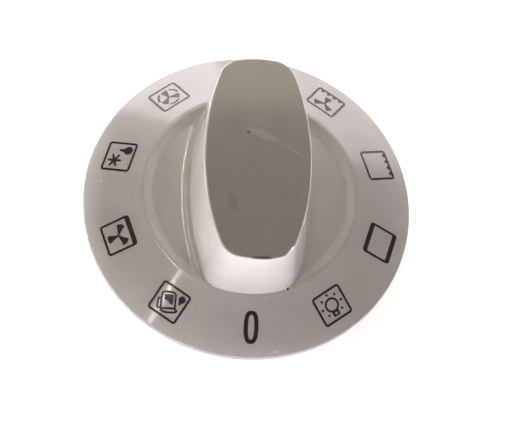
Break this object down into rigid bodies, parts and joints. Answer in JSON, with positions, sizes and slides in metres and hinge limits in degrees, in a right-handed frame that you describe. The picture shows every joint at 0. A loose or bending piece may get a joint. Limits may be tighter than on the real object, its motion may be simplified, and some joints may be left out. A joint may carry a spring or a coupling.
{
  "type": "cooker control knob",
  "caption": "Round cooker control knob: sloped white skirt with printed function signs, raised bar grip and a push-on socket for a flatted shaft.",
  "frame": {"origin": "centre of the circle on the underside plane of the rim", "axes": "+Z along the shaft axis, away from the cooker panel through the grip; the grip bar lies along Y with its pointer end at -Y; +X to the right when the pointer end is nearest"},
  "size_m": [0.06, 0.06, 0.0215],
  "materials": {
    "white_plastic": "smooth moulded gloss, white with a faint warm grey tint",
    "spring_steel": "bright rolled spring strip"
  },
  "bodies": {
    "root": {"knob_body": "white_plastic", "shaft_band": "spring_steel"}
  },
  "joints": []
}
